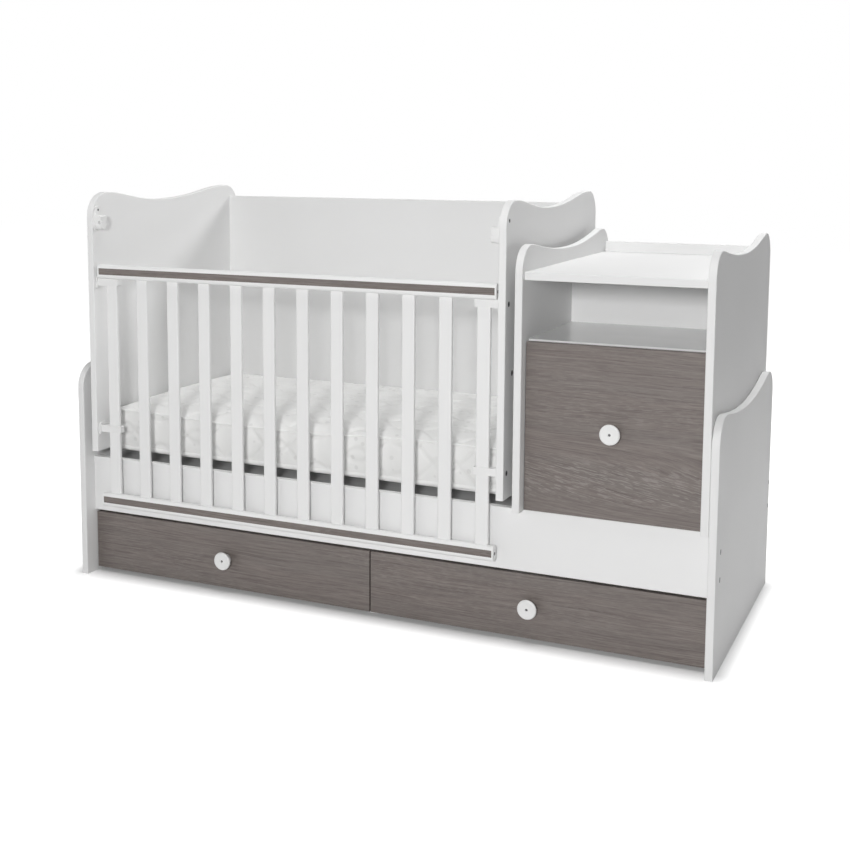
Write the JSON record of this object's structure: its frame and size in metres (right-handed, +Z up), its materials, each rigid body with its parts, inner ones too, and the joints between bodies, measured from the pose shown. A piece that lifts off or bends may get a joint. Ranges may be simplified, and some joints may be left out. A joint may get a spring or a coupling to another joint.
{
  "type": "convertible crib",
  "caption": "Convertible crib with a slatted drop side, a chest with a deep drawer and an open niche, and a low base with wide drawers under waved end panels.",
  "frame": {"origin": "on the floor, under the middle of the base", "axes": "+X along the length towards the chest, +Y to the back, +Z up"},
  "size_m": [1.66, 0.712, 1.018],
  "materials": {
    "white_board": "white satin laminate, round edges",
    "grey_oak": "grey-brown oak-grain laminate",
    "white_wood": "white satin paint",
    "white_plastic": "white, semi-gloss",
    "dark_steel": "dark, satin",
    "mattress_cover": "quilted off-white ticking",
    "beech": "plain, sanded",
    "drawer_sheet": "white-faced hardboard"
  },
  "bodies": {
    "frame": {"left_base_end": "white_board", "right_base_end": "white_board", "apron": "white_board", "back_rail": "white_board", "centre_divider": "white_board", "deck": "white_board", "left_bearer": "white_board", "right_bearer": "white_board", "left_drawer_runners": "white_plastic", "right_drawer_runners": "white_plastic", "base_bolts": "dark_steel", "left_chest_side": "white_board", "right_chest_side": "white_board", "chest_top": "white_board", "chest_upstand": "white_board", "chest_shelf": "white_board", "chest_back": "white_board", "chest_bottom": "white_board", "chest_drawer_runners": "white_plastic", "chest_dowels": "beech", "left_crib_end": "white_board", "right_crib_end": "white_board", "crib_back": "white_board", "mattress_board": "white_board", "mattress": "mattress_cover", "left_upper_clip": "white_plastic", "right_upper_clip": "white_plastic", "left_lower_clip": "white_plastic", "right_lower_clip": "white_plastic", "left_catch": "white_plastic", "right_catch": "white_plastic", "crib_bolts": "dark_steel", "crib_pegs": "beech"},
    "drop_side": {"top_rail": "white_wood", "bottom_rail": "white_wood", "slats": "white_wood", "top_inlay": "grey_oak", "bottom_inlay": "grey_oak", "rail_end_screws": "dark_steel"},
    "left_drawer": {"left_drawer_front": "grey_oak", "left_drawer_left_side": "white_board", "left_drawer_right_side": "white_board", "left_drawer_back": "white_board", "left_drawer_bottom": "drawer_sheet", "left_drawer_knob": "white_plastic", "left_drawer_screw": "dark_steel"},
    "right_drawer": {"right_drawer_front": "grey_oak", "right_drawer_left_side": "white_board", "right_drawer_right_side": "white_board", "right_drawer_back": "white_board", "right_drawer_bottom": "drawer_sheet", "right_drawer_knob": "white_plastic", "right_drawer_screw": "dark_steel"},
    "chest_drawer": {"chest_drawer_front": "grey_oak", "chest_drawer_left_side": "white_board", "chest_drawer_right_side": "white_board", "chest_drawer_back": "white_board", "chest_drawer_bottom": "drawer_sheet", "chest_drawer_knob": "white_plastic", "chest_drawer_screw": "dark_steel"}
  },
  "joints": [
    {"name": "drop_side_slide", "type": "slide", "parent": "frame", "child": "drop_side", "axis": [0, 0, 1], "range_m": [0, 0.1623], "deforming": ["left_catch", "right_catch"]},
    {"name": "left_drawer_slide", "type": "slide", "parent": "frame", "child": "left_drawer", "axis": [0, -1, 0], "range_m": [0, 0.42]},
    {"name": "right_drawer_slide", "type": "slide", "parent": "frame", "child": "right_drawer", "axis": [0, -1, 0], "range_m": [0, 0.42]},
    {"name": "chest_drawer_slide", "type": "slide", "parent": "frame", "child": "chest_drawer", "axis": [0, -1, 0], "range_m": [0, 0.24]}
  ]
}
